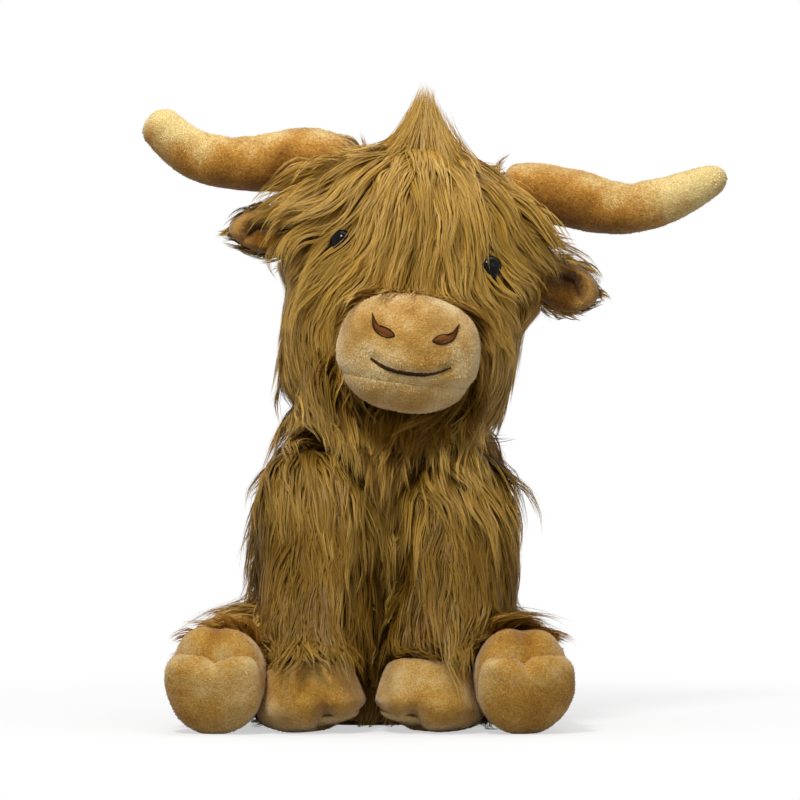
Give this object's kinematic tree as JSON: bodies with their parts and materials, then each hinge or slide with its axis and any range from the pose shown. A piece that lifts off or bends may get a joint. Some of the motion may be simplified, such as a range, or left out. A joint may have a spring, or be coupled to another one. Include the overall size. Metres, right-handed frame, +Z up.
{
  "type": "plush cow",
  "caption": "Sitting stuffed long-haired cow with curved horns, stitched muzzle and cloven hooves; head, legs, horns, ears and tail flex at their seams.",
  "frame": {"origin": "middle of the flat panel under the seat, on the floor that the cow sits on", "axes": "+Z up, the cow faces -Y, and its own left is +X"},
  "size_m": [0.282, 0.1779, 0.3259],
  "materials": {
    "long_pile": "matte",
    "short_pile": "matte",
    "stitching_thread": "satin",
    "backing_cloth": "matte",
    "eye_plastic": "gloss",
    "washer_plastic": "matte"
  },
  "bodies": {
    "torso": {"torso": "long_pile", "seat_panel": "backing_cloth", "seat_pellet_pouch": "backing_cloth"},
    "body_neck": {"body_neck_patch": "backing_cloth"},
    "head_neck": {"head_neck_patch": "backing_cloth"},
    "head": {"head": "long_pile", "forelock": "long_pile", "muzzle": "short_pile", "chin": "short_pile", "left_nostril": "stitching_thread", "right_nostril": "stitching_thread", "mouth_stitching": "stitching_thread", "left_eye": "eye_plastic", "right_eye": "eye_plastic", "left_eye_washer": "washer_plastic", "right_eye_washer": "washer_plastic"},
    "left_horn": {"left_horn": "short_pile"},
    "right_horn": {"right_horn": "short_pile"},
    "left_ear": {"left_ear": "long_pile", "left_ear_lining": "short_pile"},
    "right_ear": {"right_ear": "long_pile", "right_ear_lining": "short_pile"},
    "front_left_leg": {"front_left_leg": "long_pile", "front_left_hoof": "short_pile", "front_left_sole": "short_pile"},
    "front_right_leg": {"front_right_leg": "long_pile", "front_right_hoof": "short_pile", "front_right_sole": "short_pile"},
    "hind_left_leg": {"hind_left_leg": "long_pile", "hind_left_hoof": "short_pile", "hind_left_sole": "short_pile"},
    "hind_right_leg": {"hind_right_leg": "long_pile", "hind_right_hoof": "short_pile", "hind_right_sole": "short_pile"},
    "tail": {"tail": "long_pile", "tail_tuft": "long_pile"}
  },
  "joints": [
    {"name": "head_turn", "type": "hinge", "parent": "torso", "child": "body_neck", "pos_m": [0.00923, 0.006, 0.16], "axis": [0, 0, 1], "range_deg": [-30, 30], "stiffness_Nm_per_rad": 0.8},
    {"name": "head_nod", "type": "hinge", "parent": "body_neck", "child": "head_neck", "pos_m": [0.00923, 0.006, 0.16], "axis": [-1, 0, 0], "range_deg": [-10, 12], "stiffness_Nm_per_rad": 1.2},
    {"name": "head_tilt", "type": "hinge", "parent": "head_neck", "child": "head", "pos_m": [0.00923, 0.006, 0.16], "axis": [0, 1, 0], "range_deg": [-12, 10], "stiffness_Nm_per_rad": 1.2},
    {"name": "left_horn_flex", "type": "hinge", "parent": "head", "child": "left_horn", "pos_m": [0.07797, 0.006, 0.2677], "axis": [0, -1, 0], "range_deg": [-5, 12], "stiffness_Nm_per_rad": 0.3},
    {"name": "right_horn_flex", "type": "hinge", "parent": "head", "child": "right_horn", "pos_m": [-0.01854, 0.006, 0.28472], "axis": [0, 1, 0], "range_deg": [-5, 12], "stiffness_Nm_per_rad": 0.3},
    {"name": "left_ear_flap", "type": "hinge", "parent": "head", "child": "left_ear", "pos_m": [0.07775, 0.01, 0.22611], "axis": [0, -1, 0], "range_deg": [-25, 5], "stiffness_Nm_per_rad": 0.02},
    {"name": "right_ear_flap", "type": "hinge", "parent": "head", "child": "right_ear", "pos_m": [-0.03255, 0.01, 0.24555], "axis": [0, 1, 0], "range_deg": [-25, 5], "stiffness_Nm_per_rad": 0.02},
    {"name": "front_left_leg_swing", "type": "hinge", "parent": "torso", "child": "front_left_leg", "pos_m": [0.04298, -0.036, 0.121], "axis": [-1, 0, 0], "range_deg": [0, 60], "stiffness_Nm_per_rad": 0.05},
    {"name": "front_right_leg_swing", "type": "hinge", "parent": "torso", "child": "front_right_leg", "pos_m": [-0.02902, -0.036, 0.121], "axis": [-1, 0, 0], "range_deg": [0, 60], "stiffness_Nm_per_rad": 0.05},
    {"name": "hind_left_leg_lift", "type": "hinge", "parent": "torso", "child": "hind_left_leg", "pos_m": [0.054, -0.002, 0.031], "axis": [-1, 0, 0], "range_deg": [0, 16], "stiffness_Nm_per_rad": 0.05},
    {"name": "hind_right_leg_lift", "type": "hinge", "parent": "torso", "child": "hind_right_leg", "pos_m": [-0.054, -0.002, 0.031], "axis": [-1, 0, 0], "range_deg": [0, 16], "stiffness_Nm_per_rad": 0.05},
    {"name": "tail_swing", "type": "hinge", "parent": "torso", "child": "tail", "pos_m": [0.00358, 0.05581, 0.062], "axis": [0, 1, 0], "range_deg": [-30, 30]}
  ]
}
